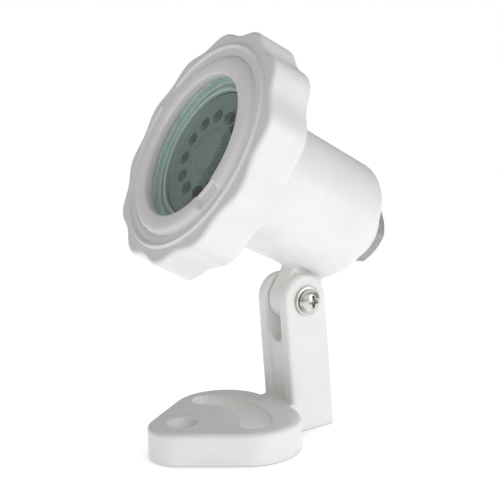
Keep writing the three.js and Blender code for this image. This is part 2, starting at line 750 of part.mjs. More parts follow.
function makeLampBase() {
  const block = revolve([
    [0, BASE_REAR],
    [BASE_RADIUS - 0.8, BASE_REAR],
    [BASE_RADIUS, BASE_REAR + 1],
    [BASE_RADIUS, BASE_FRONT],
    [0, BASE_FRONT],
  ]);
  const pinHoles = [-1, 1].map((side) => round(PIN_RADIUS + GAP, BASE_REAR - 1, BASE_REAR + 4.5, 16)
    .translate([(side * PIN_SPACING) / 2, 0, 0]));
  return part('lamp_base', cut(block, ...pinHoles), 'ceramic');
}

function makeLampPin(name, side) {
  const pin = revolve([
    [0, 1], [0.4, 1], [PIN_RADIUS, 1.6], [PIN_RADIUS, BASE_REAR + 4], [0, BASE_REAR + 4],
  ], 12).translate([(side * PIN_SPACING) / 2, 0, 0]);
  return part(name, pin, 'brass');
}

function makeLampHolder() {
  const [rear, front] = [-3.6, BASE_REAR - GAP];
  const block = revolve([
    [0, rear],
    [BASE_RADIUS - 0.8, rear],
    [BASE_RADIUS, rear + 0.8],
    [BASE_RADIUS, front - 0.8],
    [BASE_RADIUS - 0.8, front],
    [0, front],
  ]);
  const sockets = [-1, 1].map((side) => join(
    round(PIN_RADIUS + GAP, 0.5, front + 1, 16),
    round(CORE_RADIUS + GAP, rear - 1, rear + 2.6, 16),
  ).translate([(side * PIN_SPACING) / 2, 0, 0]));
  return part('lamp_holder', cut(block, ...sockets), 'ceramic');
}

// ---------------------------------------------------------------- cable and gland

const CORE_RADIUS = 0.9;
const SHEATH_FRONT = BODY_REAR + REAR_WALL + 0.6;

function makeCableSheath() {
  return part('cable_sheath', round(CABLE_RADIUS, CABLE_END, SHEATH_FRONT), 'cableBlack');
}

// A core leaves the sheath beside the axis and spreads to its terminal in the holder.
function makeCore(name, side, finish) {
  const path = new THREE.CatmullRomCurve3([
    new THREE.Vector3(side * 1.6, 0, SHEATH_FRONT + GAP),
    new THREE.Vector3(side * 1.8, 0, SHEATH_FRONT + 1.5),
    new THREE.Vector3((side * PIN_SPACING) / 2, 0, -3.4),
    new THREE.Vector3((side * PIN_SPACING) / 2, 0, -1.6),
  ]);
  const section = polygon(arc(0, 0, CORE_RADIUS, 0, 330, 11));
  const geometry = new THREE.ExtrudeGeometry(section, { steps: 8, extrudePath: path });
  return part(name, toSolid(geometry), finish);
}

function makeGlandSeal() {
  const [rear, front] = [SPIGOT_REAR, BOSS_REAR - GAP];
  const bore = CABLE_RADIUS + GAP;
  const outer = SEAL_POCKET_RADIUS - GAP;
  const bush = revolve([
    [bore, rear],
    [outer - 0.6, rear],
    [outer, rear + 0.6],
    [outer, front],
    [bore, front],
  ]);
  return part('gland_seal', bush, 'blackRubber');
}

const GLAND_WASHER_THICKNESS = 0.5;

function makeGlandWasher() {
  const front = SPIGOT_REAR - GAP;
  const ring = tube(CABLE_RADIUS + GAP, 8.4, front - GLAND_WASHER_THICKNESS, front);
  return part('gland_washer', ring, 'clearFilm');
}

function makeGlandNut() {
  const front = BOSS_REAR - GAP;
  const hexRear = NUT_REAR + 2.8;
  const floor = SPIGOT_REAR - GLAND_WASHER_THICKNESS - 2 * GAP;
  const bore = SPIGOT_RADIUS + 0.9;
  const corner = NUT_ACROSS_FLATS / Math.sqrt(3);
  const prism = toSolid(extrude(hexagon(NUT_ACROSS_FLATS), NUT_REAR, front));
  const envelope = revolve([
    [0, NUT_REAR],
    [7.2, NUT_REAR],
    [9.6, NUT_REAR + 1],
    [corner - 1.6, hexRear],
    [corner, hexRear + 1.2],
    [corner, front - 0.6],
    [corner - 1, front],
    [0, front],
  ]);
  const thread = threadRidge({
    ...GLAND_THREAD,
    start: GLAND_THREAD.start + GLAND_PITCH / 2,
    turns: 1.25,
    baseRadius: bore + THREAD_ROOT,
    crestRadius: bore - GLAND_THREAD_HEIGHT,
  });
  const hollow = join(
    round(bore, floor, front + 1),
    round(CABLE_RADIUS + CABLE_PLAY, NUT_REAR - 1, front),
  );
  return part('gland_nut', join(cut(prism.intersect(envelope), hollow), thread), 'greyNylon');
}

// ---------------------------------------------------------------- assembly

const light = new THREE.Group();
light.add(
  makeBracket(),
  makePivotScrew(),
  makePivotWasher('pivot_screw_washer', WASHER_SEAT),
  makePivotWasher('pivot_nut_washer', -WASHER_SEAT - WASHER_THICKNESS),
  makePivotNut(),
);

const tilting = new THREE.Group();
tilting.position.set(0, 0, PIVOT_HEIGHT);
tilting.rotation.x = Math.PI / 2 - REST_TILT;
light.add(tilting);

const lamp = new THREE.Group();
lamp.position.set(0, AXIS_OFFSET, 0);
tilting.add(lamp);
lamp.add(
  makeHousing(),
  makeClampRing(),
  makeSlipWasher(),
  makeGlass(),
  makeGlassGasket(),
  makeLampRetainer(),
  makeLampShell(),
  makeLensPlate(),
  makeLedBoard(),
  ...makeLeds(),
  makeDriverBoard(),
  makeLampBase(),
  makeLampPin('lamp_pin_left', -1),
  makeLampPin('lamp_pin_right', 1),
  makeLampHolder(),
  makeCableSheath(),
  makeCore('cable_core_brown', -1, 'coreBrown'),
  makeCore('cable_core_blue', 1, 'coreBlue'),
  makeGlandSeal(),
  makeGlandWasher(),
  makeGlandNut(),
);

export default light;
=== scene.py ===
"""Looks of the underwater pool light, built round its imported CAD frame.

Lengths in this file are millimetres until a mesh is made. Two frames are used:
    row    the frame of the CAD model, with the pivot screw along +X
    lamp   on the lamp's own axis, with +Z along the beam and +Y square to it
Moulded pieces are drawn as distance fields, so their edges are rounded as moulded ones are.
Round pieces are lathed. The pivot and the lamp's axis are taken from the frame's joints.
"""
import json
import math

import bpy
import numpy as np
import openvdb
from mathutils import Matrix, Vector


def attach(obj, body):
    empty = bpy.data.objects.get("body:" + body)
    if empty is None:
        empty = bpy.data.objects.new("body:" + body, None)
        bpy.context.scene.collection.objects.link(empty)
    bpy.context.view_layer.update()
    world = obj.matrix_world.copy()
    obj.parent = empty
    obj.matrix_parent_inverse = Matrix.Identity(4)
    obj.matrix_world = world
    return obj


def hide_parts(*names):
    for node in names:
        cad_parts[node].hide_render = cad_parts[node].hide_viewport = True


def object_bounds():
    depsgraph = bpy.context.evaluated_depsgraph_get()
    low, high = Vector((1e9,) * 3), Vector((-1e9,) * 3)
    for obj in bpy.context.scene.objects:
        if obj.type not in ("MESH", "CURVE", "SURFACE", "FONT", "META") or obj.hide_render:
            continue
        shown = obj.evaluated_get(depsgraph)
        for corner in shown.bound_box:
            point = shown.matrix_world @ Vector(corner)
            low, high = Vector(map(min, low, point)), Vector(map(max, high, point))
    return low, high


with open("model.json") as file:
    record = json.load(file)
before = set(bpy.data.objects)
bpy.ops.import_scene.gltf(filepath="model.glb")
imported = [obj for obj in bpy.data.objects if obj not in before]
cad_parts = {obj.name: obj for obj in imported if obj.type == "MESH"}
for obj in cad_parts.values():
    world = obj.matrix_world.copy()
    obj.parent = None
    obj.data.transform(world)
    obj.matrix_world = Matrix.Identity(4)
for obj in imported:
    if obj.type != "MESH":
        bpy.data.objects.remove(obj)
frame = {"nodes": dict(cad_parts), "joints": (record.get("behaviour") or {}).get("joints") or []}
CAD_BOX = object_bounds()
JOINTS = {joint["name"]: joint for joint in frame["joints"]}

MM = 0.001

# ---------------------------------------------------------------- driving dimensions

PIVOT_HEIGHT = JOINTS["tilt"]["pos_m"][2] / MM

# Foot plate
FOOT_THICKNESS = 12.1
FOOT_HOLE_Y = -53.2
NOSE_RADIUS = 13.2
LOBE_RADIUS = 20.0
LOBE_X = 10.0
LOBE_Y = -29.3
FOOT_EDGE_ROUND = 1.7
FOOT_WALL = 2.6
SCREW_HOLE_RADIUS = 2.75
COUNTERSINK_RADIUS = 5.8
COUNTERSINK_DEPTH = 4.2
SLOT_RADIUS = 28.1
SLOT_HALF_WIDTH = 5.5
SLOT_HALF_ANGLE = math.radians(41)

# Clevis column
COLUMN_WIDTH = 20.1
COLUMN_FRONT_Y = -7.5
COLUMN_BACK_Y = 13.6
EAR_RADIUS = 10.3
EAR_EDGE_ROUND = 1.7
CLEVIS_GAP = 9.6
CLEVIS_DEPTH = 17.0
WEB_SETBACK = 1.3
WEB_THICKNESS = 7.5
CHANNEL_FLOOR = 4.0

# Housing, with heights along the lamp axis
AXIS_OFFSET = 37.8
BODY_RADIUS = 26.4
BODY_WALL = 2.7
BODY_REAR = -11.9
BODY_REAR_ROUND = 5.4
REAR_WALL = 3.0
COLLAR_REAR = 51.4
COLLAR_FRONT = 64.2
COLLAR_RADIUS = 37.0
COLLAR_FILLET = 3.0
POCKET_RADIUS = 32.4
POCKET_FLOOR = 55.9
SEAT_RADIUS = 26.4
LUG_THICKNESS = 8.6
LUG_RADIUS = 8.6
LUG_ROOT_FRONT = 6.6
LUG_ROOT_REAR = -9.5
BOSS_RADIUS = 14.5
BOSS_REAR = -21.2
SPIGOT_RADIUS = 9.7
SPIGOT_REAR = -25.6
SEAL_POCKET_RADIUS = 7.0

# Clamp ring
RING_FACE = 67.4
RING_DEPTH = 16.2
RING_RADIUS = 47.0
RING_REAR_RADIUS = 47.7
RING_BORE = 38.9
OPENING_RADIUS = 28.4
LIP_DEPTH = 2.8
LOBE_COUNT = 12
NOTCH_ANGLE = math.radians(22)
NOTCH_DEPTH = 2.4
RIDGE_RADIUS = 40.1
RIDGE_HEIGHT = 0.9
BEAD_RADIUS = 32.4
BEAD_HEIGHT = 1.6
BEAD_FOOT = 36.0
OPENING_EDGE_HEIGHT = 0.7
RING_FRONT_ROUND = 1.5
RING_REAR_ROUND = 0.9
GROOVE_DEPTH = 0.8
GROOVE_HALF_WIDTH = 0.45
RIDGE_HALF_WIDTH = 0.75
RING_THREAD_HEIGHT = 1.3
GLAND_THREAD_HEIGHT = 0.6
CHANNEL_HALF_WIDTH = 5.0
RIDGE_CHANNEL_ANGLE = math.radians(145)
BEAD_CHANNEL_ANGLE = math.radians(322)
RING_PITCH = 3.5
GLAND_PITCH = 1.5
RING_THREAD_START = COLLAR_REAR + 1.9
GLAND_THREAD_START = SPIGOT_REAR + 0.8

# Glass, lamp, cable and gland
GLASS_RADIUS = 31.9
GLASS_FRONT = 63.5
GLASS_REAR = 58.5
GLASS_EDGE_ROUND = 0.7
LAMP_FACE = 56.6
LENS_REAR = 55.5
LED_COUNT = 12
LED_CIRCLE_RADIUS = 15.0
LENS_CELL_RADIUS = 2.7
BOARD_FRONT = 53.6
BOARD_THICKNESS = 1.5
BOARD_RADIUS = 20.5
LENS_RADIUS = 24.2
DRUM_RADIUS = 9.7
DRUM_FLUTES = 36
DRUM_CROWN_RADIUS = 7.8
CABLE_RADIUS = 3.6
CABLE_PLAY = 0.5
CABLE_END = -34.5
NUT_ACROSS_FLATS = 24.4
NUT_REAR = -29.4
NUT_FRONT = BOSS_REAR - 0.3

# Pivot hardware, along +X from the middle plane
SCREW_RADIUS = 2.5
SCREW_PITCH = 0.8
HEAD_RADIUS = 5.1
HEAD_HEIGHT = 3.3
HEAD_SEAT = 11.65
WASHER_SEAT = 10.35
WASHER_RADIUS = 5.9
WASHER_THICKNESS = 1.0
PIVOT_NUT_ACROSS_FLATS = 8.0
PIVOT_NUT_HEIGHT = 4.0

# Camera, in the row frame
CAMERA_PLACE = (241.3, -181.7, 107.3)
CAMERA_TARGET = (0, -19.8, 74.9)
CAMERA_LENS = 53.37
CAMERA_ROLL = math.radians(-1.825)

# Floor and surroundings
FLOOR_DROP = 0.2
FLOOR_GLOW = 0.85
# The floor's glow where it is fully shaded, and how far the painted shadow reaches from the
# object.
SHADOW_GLOW = 0.12
SHADOW_REACH = 15.0
SURROUNDINGS_POWER = 0.31

# ---------------------------------------------------------------- frames


def basis(x, y, z, origin):
    """A matrix that takes millimetres in a local frame to metres in the row frame."""
    turn = Matrix((x, y, z)).transposed().to_4x4()
    return Matrix.Translation(origin) @ turn @ Matrix.Scale(MM, 4)


BEAM = Vector(JOINTS["ring_turn"]["axis"]).normalized()
ACROSS = Vector((1, 0, 0))
LAMP = basis(ACROSS, BEAM.cross(ACROSS), BEAM, Vector(JOINTS["ring_turn"]["pos_m"]))
PIVOT = basis(Vector((0, 0, -1)), Vector((0, 1, 0)), ACROSS, Vector(JOINTS["tilt"]["pos_m"]))
ROW = Matrix.Scale(MM, 4)

# ---------------------------------------------------------------- distance fields


def union(a, b, radius=0.0):
    """Two fields joined, with a fillet of that radius in the corner."""
    if radius <= 0:
        return np.minimum(a, b)
    u = np.maximum(radius - a, 0)
    v = np.maximum(radius - b, 0)
    return np.maximum(radius, np.minimum(a, b)) - np.sqrt(u * u + v * v)


def meet(a, b, radius=0.0):
    """Where both fields are solid, with the edge rounded to that radius."""
    if radius <= 0:
        return np.maximum(a, b)
    u = np.maximum(radius + a, 0)
    v = np.maximum(radius + b, 0)
    return np.minimum(-radius, np.maximum(a, b)) + np.sqrt(u * u + v * v)


def cut(a, b, radius=0.0):
    return meet(a, -b, radius)


def slab(value, low, high):
    return np.maximum(low - value, value - high)


def circle(x, y, radius, cx=0.0, cy=0.0):
    return np.hypot(x - cx, y - cy) - radius


def tapered_capsule(x, y, start, start_radius, end, end_radius):
    """Two circles of different sizes joined by their common tangents."""
    dx, dy = end[0] - start[0], end[1] - start[1]
    length = math.hypot(dx, dy)
    along = ((x - start[0]) * dx + (y - start[1]) * dy) / length
    side = np.abs((x - start[0]) * dy - (y - start[1]) * dx) / length
    b = (start_radius - end_radius) / length
    a = math.sqrt(1 - b * b)
    k = a * along - b * side
    field = a * side + b * along - start_radius
    field = np.where(k < 0, np.hypot(side, along) - start_radius, field)
    return np.where(k > a * length, np.hypot(side, along - length) - end_radius, field)


def hexagon(x, y, across_flats):
    """A hexagon with corners on the x axis."""
    half = across_flats / 2
    root = math.sqrt(3) / 2
    tilted = np.maximum(np.abs(root * x + y / 2), np.abs(root * x - y / 2))
    return np.maximum(tilted, np.abs(y)) - half


def thread(radius_field, angle, z, pitch, start, end, height):
    """A round bar's field with a helical ridge, centred on the start height at angle zero."""
    phase = ((z - start) / pitch - angle / (2 * math.pi) + 0.5) % 1.0
    ridge = np.clip(1.6 - np.abs(phase - 0.5) * 6.5, 0, 1)
    fade = np.clip((z - start) / pitch, 0, 1) * np.clip((end - z) / pitch, 0, 1)
    return radius_field - height * ridge * np.minimum(1, 2 * fade)


class Space:
    """A block of sample points, as three arrays that broadcast together."""

    def __init__(self, low, high, step):
        self.low = np.array(low, float)
        self.step = step
        axes = [np.arange(a, b + step, step, dtype=np.float32) for a, b in zip(low, high)]
        self.x = axes[0][:, None, None]
        self.y = axes[1][None, :, None]
        self.z = axes[2][None, None, :]
        self.shape = tuple(len(a) for a in axes)


def surface(space, field):
    """The skin of a field as (points in millimetres, quads)."""
    grid = openvdb.FloatGrid(3 * space.step)
    full = np.broadcast_to(field, space.shape).astype(np.float32)
    grid.copyFromArray(np.ascontiguousarray(full))
    points, quads = grid.convertToQuads(isovalue=0.0)
    return space.low + np.asarray(points, float) * space.step, np.asarray(quads, np.int64)


# ---------------------------------------------------------------- meshes


def signed_volume(points, quads):
    a, b, c, d = (points[quads[:, i]] for i in range(4))
    return np.einsum("ij,ij->", a, np.cross(b, c)) + np.einsum("ij,ij->", a, np.cross(c, d))


def add_piece(name, points, quads, matrix, body, nodes, materials, material_index=None):
    """Makes an object from quads, facing outwards, and fixes it to its CAD body.

    A quad with two corners on one point becomes a triangle.
    """
    if signed_volume(points, quads) < 0:
        quads = quads[:, ::-1]
    turn = np.array(matrix)
    placed = points @ turn[:3, :3].T + turn[:3, 3]
    mesh = bpy.data.meshes.new(name)
    mesh.vertices.add(len(placed))
    mesh.vertices.foreach_set("co", placed.astype(np.float32).ravel())
    distinct = quads != np.roll(quads, -1, axis=1)
    corners = quads[distinct]
    ends = np.cumsum(distinct.sum(axis=1))
    mesh.loops.add(len(corners))
    mesh.loops.foreach_set("vertex_index", corners.astype(np.int32))
    mesh.polygons.add(len(quads))
    mesh.polygons.foreach_set("loop_start", np.append(0, ends[:-1]).astype(np.int32))
    for material in materials:
        mesh.materials.append(material)
    if material_index is not None:
        mesh.polygons.foreach_set("material_index", material_index.astype(np.int32))
    mesh.polygons.foreach_set("use_smooth", np.ones(len(quads), bool))
    mesh.update(calc_edges=True)
    mesh.validate()
    piece = bpy.data.objects.new(name, mesh)
    bpy.context.scene.collection.objects.link(piece)
    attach(piece, body)
    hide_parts(*nodes)


def rounded(profile, radius):
    """A closed [radius, z] outline with each corner off the axis rounded."""
    result = []
    steps = 3
    count = len(profile)
    for i in range(count):
        before, here, after = (Vector(profile[(i + k) % count]) for k in (-1, 0, 1))
        if here.x < 1e-6:
            result.append(tuple(here))
            continue
        into, out = before - here, after - here
        reach = min(radius, 0.45 * into.length, 0.45 * out.length)
        start = here + into.normalized() * reach
        end = here + out.normalized() * reach
        for k in range(steps + 1):
            t = k / steps
            point = start * (1 - t) ** 2 + here * (2 * t * (1 - t)) + end * t * t
            result.append(tuple(point))
    return result


def grid_quads(rows, columns):
    """Quads of a grid whose rows and columns both close on themselves."""
    i = np.arange(rows)[:, None]
    j = np.arange(columns)[None, :]
    corners = [
        i * columns + j,
        i * columns + (j + 1) % columns,
        ((i + 1) % rows) * columns + (j + 1) % columns,
        ((i + 1) % rows) * columns + j,
    ]
    return np.stack([c.ravel() for c in corners], axis=1)


def lathe(profile, segments):
    """A solid of revolution about Z from a closed [radius, z] outline."""
    outline = np.array(profile, float)
    angle = np.arange(segments) * 2 * math.pi / segments
    x = np.cos(angle)[:, None] * outline[None, :, 0]
    y = np.sin(angle)[:, None] * outline[None, :, 0]
    z = np.broadcast_to(outline[None, :, 1], x.shape)
    points = np.stack([x, y, z], axis=2).reshape(-1, 3)
    quads = grid_quads(segments, len(outline))
    on_axis = outline[:, 0] < 1e-6
    j = np.arange(len(quads)) % len(outline)
    flat = on_axis[j] & on_axis[(j + 1) % len(outline)]
    return merge_axis(points, quads[~flat])


def merge_axis(points, quads):
    """Points that fall together on the axis become one point."""
    keys = np.round(points * 1e4).astype(np.int64)
    unique, first, index = np.unique(keys, axis=0, return_index=True, return_inverse=True)
    return points[first], index.reshape(-1)[quads]


def tube_outline(inner, outer, low, high):
    return [(inner, low), (outer, low), (outer, high), (inner, high)]


def merged(*parts):
    """Several (points, quads) as one, with the part number of each quad."""
    points, quads, number = [], [], []
    offset = 0
    for i, (p, q) in enumerate(parts):
        points.append(p)
        quads.append(q + offset)
        number.append(np.full(len(q), i))
        offset += len(p)
    return np.concatenate(points), np.concatenate(quads), np.concatenate(number)


# ---------------------------------------------------------------- materials


class Shader:
    """A node material with a Principled shader, object coordinates and noise."""

    def __init__(self, name):
        self.material = bpy.data.materials.new(name)
        self.material.use_nodes = True
        self.tree = self.material.node_tree
        self.nodes = self.tree.nodes
        self.principled = self.nodes["Principled BSDF"]
        self.coordinates = self.nodes.new("ShaderNodeTexCoord").outputs["Object"]
        self.output = self.nodes["Material Output"]

    def link(self, source, target):
        self.tree.links.new(source, target)

    def set(self, **values):
        for key, value in values.items():
            self.principled.inputs[key.replace("_", " ")].default_value = value

    def noise(self, size_mm, detail, stretch=(1, 1, 1)):
        """Noise whose grain is about size_mm across, as a value from 0 to 1."""
        mapping = self.nodes.new("ShaderNodeMapping")
        mapping.inputs["Scale"].default_value = stretch
        self.link(self.coordinates, mapping.inputs["Vector"])
        texture = self.nodes.new("ShaderNodeTexNoise")
        texture.inputs["Scale"].default_value = 1 / (size_mm * MM)
        texture.inputs["Detail"].default_value = detail
        self.link(mapping.outputs["Vector"], texture.inputs["Vector"])
        return texture.outputs["Fac"]

    def remap(self, value, low, high, from_low=0.3, from_high=0.7):
        node = self.nodes.new("ShaderNodeMapRange")
        node.inputs["From Min"].default_value = from_low
        node.inputs["From Max"].default_value = from_high
        node.inputs["To Min"].default_value = low
        node.inputs["To Max"].default_value = high
        self.link(value, node.inputs["Value"])
        return node.outputs["Result"]

    def mix(self, factor, first, second):
        node = self.nodes.new("ShaderNodeMix")
        node.data_type = "RGBA"
        self.link(factor, node.inputs["Factor"])
        for socket, value in ((node.inputs["A"], first), (node.inputs["B"], second)):
            if isinstance(value, tuple):
                socket.default_value = (*value, 1)
            else:
                self.link(value, socket)
        return node.outputs["Result"]

    def colour(self, value):
        self.link(value, self.principled.inputs["Base Color"])

    def roughness(self, value):
        self.link(value, self.principled.inputs["Roughness"])

    def bump(self, *layers):
        """Layers of (height value, height in millimetres)."""
        normal = None
        for value, height in layers:
            node = self.nodes.new("ShaderNodeBump")
            node.inputs["Distance"].default_value = height * MM
            node.inputs["Strength"].default_value = 1.0
            self.link(value, node.inputs["Height"])
            if normal is not None:
                self.link(normal, node.inputs["Normal"])
            normal = node.outputs["Normal"]
        self.link(normal, self.principled.inputs["Normal"])

    def edges(self):
        """Rises from 0 to 1 on outward edges, where handling wears a piece."""
        pointiness = self.nodes.new("ShaderNodeNewGeometry").outputs["Pointiness"]
        return self.remap(pointiness, 0, 1, from_low=0.53, from_high=0.62)


def scaled(colour, factor):
    return tuple(min(1.0, c * factor) for c in colour)


def moulded_plastic(name, colour, roughness):
    """Glossy moulding: faint clouding, orange peel, hairline scuffs and rubbed edges."""
    shader = Shader(name)
    cloud = shader.remap(shader.noise(14, 2), 0, 1)
    base = shader.mix(cloud, scaled(colour, 0.975), scaled(colour, 1.02))
    shader.colour(shader.mix(shader.edges(), base, scaled(colour, 1.05)))
    scuffs = shader.noise(2.2, 6, (1, 5, 1))
    shader.roughness(shader.remap(scuffs, roughness - 0.05, roughness + 0.1))
    shader.bump((shader.noise(1.1, 2), 0.012))
    shader.set(IOR=1.5)
    return shader.material


def matt_plastic(name, colour, roughness, grain_mm=0.25, grain_height=0.01):
    shader = Shader(name)
    cloud = shader.remap(shader.noise(5, 3), 0, 1)
    base = shader.mix(cloud, scaled(colour, 0.9), scaled(colour, 1.07))
    shader.colour(shader.mix(shader.edges(), base, scaled(colour, 1.2)))
    shader.roughness(shader.remap(shader.noise(1.3, 4), roughness - 0.07, roughness + 0.1))
    shader.bump((shader.noise(grain_mm, 2), grain_height))
    return shader.material


def turned_metal(name, colour, roughness):
    """Bright metal with fine tool marks, faint staining and scratched edges."""
    shader = Shader(name)
    stain = shader.remap(shader.noise(3.2, 4), 0, 1)
    base = shader.mix(stain, scaled(colour, 0.8), colour)
    shader.colour(shader.mix(shader.edges(), base, scaled(colour, 1.15)))
    marks = shader.noise(0.35, 5)
    shader.roughness(shader.remap(marks, roughness - 0.08, roughness + 0.14))
    shader.bump((marks, 0.006), (shader.noise(1.5, 2), 0.01))
    shader.set(Metallic=1.0)
    return shader.material


def tinted_glass(name, colour, roughness, shadow_colour):
    """Glass that still lets light fall on what is behind it."""
    shader = Shader(name)
    haze = shader.remap(shader.noise(9, 4), roughness, roughness + 0.03)
    shader.roughness(haze)
    shader.bump((shader.noise(6, 2), 0.01))
    shader.set(Base_Color=(*colour, 1), IOR=1.5, Transmission_Weight=1.0)
    clear = shader.nodes.new("ShaderNodeBsdfTransparent")
    clear.inputs["Color"].default_value = (*shadow_colour, 1)
    path = shader.nodes.new("ShaderNodeLightPath")
    either = shader.nodes.new("ShaderNodeMath")
    either.operation = "MAXIMUM"
    shader.link(path.outputs["Is Shadow Ray"], either.inputs[0])
    shader.link(path.outputs["Is Diffuse Ray"], either.inputs[1])
    blend = shader.nodes.new("ShaderNodeMixShader")
    shader.link(either.outputs["Value"], blend.inputs["Fac"])
    shader.link(shader.principled.outputs["BSDF"], blend.inputs[1])
    shader.link(clear.outputs["BSDF"], blend.inputs[2])
    shader.link(blend.outputs["Shader"], shader.output.inputs["Surface"])
    return shader.material


WHITE = moulded_plastic("white_abs", (0.83, 0.825, 0.815), 0.3)
GLASS = tinted_glass("green_glass", (0.74, 0.90, 0.87), 0.0, (0.95, 0.98, 0.975))
GROUND_GLASS = matt_plastic("ground_glass", (0.80, 0.92, 0.90), 0.6)
RUBBER = matt_plastic("black_rubber", (0.022, 0.024, 0.026), 0.75, 0.4, 0.02)
SILICONE = matt_plastic("pale_silicone", (0.84, 0.88, 0.86), 0.55, 0.5, 0.01)
FILM = matt_plastic("clear_film", (0.72, 0.73, 0.7), 0.4)
STEEL = turned_metal("stainless", (0.72, 0.71, 0.69), 0.24)
NYLON = matt_plastic("grey_nylon", (0.36, 0.355, 0.345), 0.45, 0.3, 0.008)
ALUMINIUM = turned_metal("lamp_aluminium", (0.62, 0.66, 0.66), 0.38)
LENS = moulded_plastic("lens_plastic", (0.25, 0.285, 0.28), 0.1)
LENS_CELL = moulded_plastic("lens_cell", (0.06, 0.07, 0.068), 0.08)
BOARD = matt_plastic("circuit_board", (0.03, 0.13, 0.07), 0.45, 0.5, 0.02)
PHOSPHOR = matt_plastic("led_phosphor", (0.72, 0.56, 0.12), 0.4)
CERAMIC = matt_plastic("ceramic", (0.78, 0.75, 0.68), 0.7, 0.3, 0.02)
BRASS = turned_metal("brass", (0.64, 0.47, 0.2), 0.3)
CABLE = matt_plastic("cable_pvc", (0.02, 0.022, 0.025), 0.5, 0.5, 0.015)
CORE_BROWN = matt_plastic("core_brown", (0.16, 0.065, 0.03), 0.45)
CORE_BLUE = matt_plastic("core_blue", (0.025, 0.09, 0.36), 0.45)
COPPER = turned_metal("copper", (0.86, 0.42, 0.26), 0.3)

# ---------------------------------------------------------------- foot bracket


def foot_outline(x, y):
    """Nose and two lobes joined by straight tangents."""
    side = np.abs(x)
    lobe = tapered_capsule(
        side, y, (0, FOOT_HOLE_Y), NOSE_RADIUS, (LOBE_X, LOBE_Y), LOBE_RADIUS
    )
    middle = np.maximum(side - LOBE_X, slab(y, FOOT_HOLE_Y, LOBE_Y + LOBE_RADIUS))
    return np.minimum(lobe, middle)


def slot_outline(x, y):
    """The arc slot, about the front hole."""
    dx, dy = np.abs(x), y - FOOT_HOLE_Y
    end_x = SLOT_RADIUS * math.sin(SLOT_HALF_ANGLE)
    end_y = SLOT_RADIUS * math.cos(SLOT_HALF_ANGLE)
    inside = np.arctan2(dx, dy) < SLOT_HALF_ANGLE
    band = np.abs(np.hypot(dx, dy) - SLOT_RADIUS)
    return np.where(inside, band, np.hypot(dx - end_x, dy - end_y)) - SLOT_HALF_WIDTH


def column_edges(y, z):
    """Distances in front of the column's front line and behind its back line."""
    fields = []
    for foot_y, side in ((COLUMN_FRONT_Y, -1), (COLUMN_BACK_Y, 1)):
        distance = math.hypot(foot_y, PIVOT_HEIGHT)
        bearing = math.atan2(-PIVOT_HEIGHT, foot_y) + side * math.acos(EAR_RADIUS / distance)
        normal = (math.cos(bearing), math.sin(bearing))
        fields.append(y * normal[0] + (z - PIVOT_HEIGHT) * normal[1] - EAR_RADIUS)
    return fields


def build_bracket():
    space = Space((-32, -68.5, -1.5), (32, 15.5, 65.5), 0.45)
    x, y, z = space.x, space.y, space.z
    outline = foot_outline(x, y)
    plate = meet(outline, z - FOOT_THICKNESS, FOOT_EDGE_ROUND)
    slot = slot_outline(x, y)
    screw_hole = circle(x, y, SCREW_HOLE_RADIUS, 0, FOOT_HOLE_Y)
    slope = (COUNTERSINK_RADIUS - SCREW_HOLE_RADIUS) / COUNTERSINK_DEPTH
    sink = circle(x, y, COUNTERSINK_RADIUS, 0, FOOT_HOLE_Y) - slope * (z - FOOT_THICKNESS)
    screw_hole = np.minimum(screw_hole, sink / math.hypot(1, slope))
    hollow = np.maximum(outline + FOOT_WALL, z - (FOOT_THICKNESS - FOOT_WALL))
    boss = circle(x, y, COUNTERSINK_RADIUS + FOOT_WALL, 0, FOOT_HOLE_Y)
    rib = np.maximum(np.abs(x) - FOOT_WALL / 2, slab(y, FOOT_HOLE_Y, FOOT_HOLE_Y + SLOT_RADIUS))
    for wall in (slot - FOOT_WALL, boss, rib):
        hollow = cut(hollow, wall, 0.5)
    plate = cut(plate, hollow, 0.4)

    front, back = column_edges(y, z)
    wedge = np.maximum(np.maximum(front, back), z - PIVOT_HEIGHT)
    side_view = np.minimum(wedge, circle(y, z, EAR_RADIUS, 0, PIVOT_HEIGHT))
    column = meet(side_view, np.abs(x) - COLUMN_WIDTH / 2, EAR_EDGE_ROUND)
    neck_front = LOBE_Y + LOBE_RADIUS - 2
    neck = np.maximum(slab(y, neck_front, COLUMN_FRONT_Y + 2), np.abs(x) - COLUMN_WIDTH / 2)
    neck = meet(neck, z - FOOT_THICKNESS, 0.5)
    gap_radius = CLEVIS_GAP / 2
    gap_flat = PIVOT_HEIGHT - CLEVIS_DEPTH + gap_radius
    gap = np.where(z > gap_flat, np.abs(x), np.hypot(x, z - gap_flat)) - gap_radius
    front_channel = np.maximum(
        np.maximum(np.abs(x) - gap_radius, -WEB_SETBACK - front), FOOT_THICKNESS - z
    )
    rear_channel = np.maximum(
        np.maximum(np.abs(x) - gap_radius, front + WEB_SETBACK + WEB_THICKNESS),
        CHANNEL_FLOOR - z,
    )
    column = cut(column, gap, 0.9)
    column = cut(column, front_channel, 0.45)
    column = cut(column, rear_channel, 0.6)
    column = cut(column, circle(y, z, SCREW_RADIUS + 0.2, 0, PIVOT_HEIGHT), 0.35)

    solid = union(np.minimum(plate, neck), column, 0.8)
    solid = cut(solid, slot, 0.5)
    solid = cut(solid, screw_hole, 0.35)
    solid = meet(solid, -z, 0.3)
    points, quads = surface(space, solid)
    add_piece("bracket_moulding", points, quads, ROW, "bracket", ["base_bracket"],
              [WHITE])


# ---------------------------------------------------------------- housing


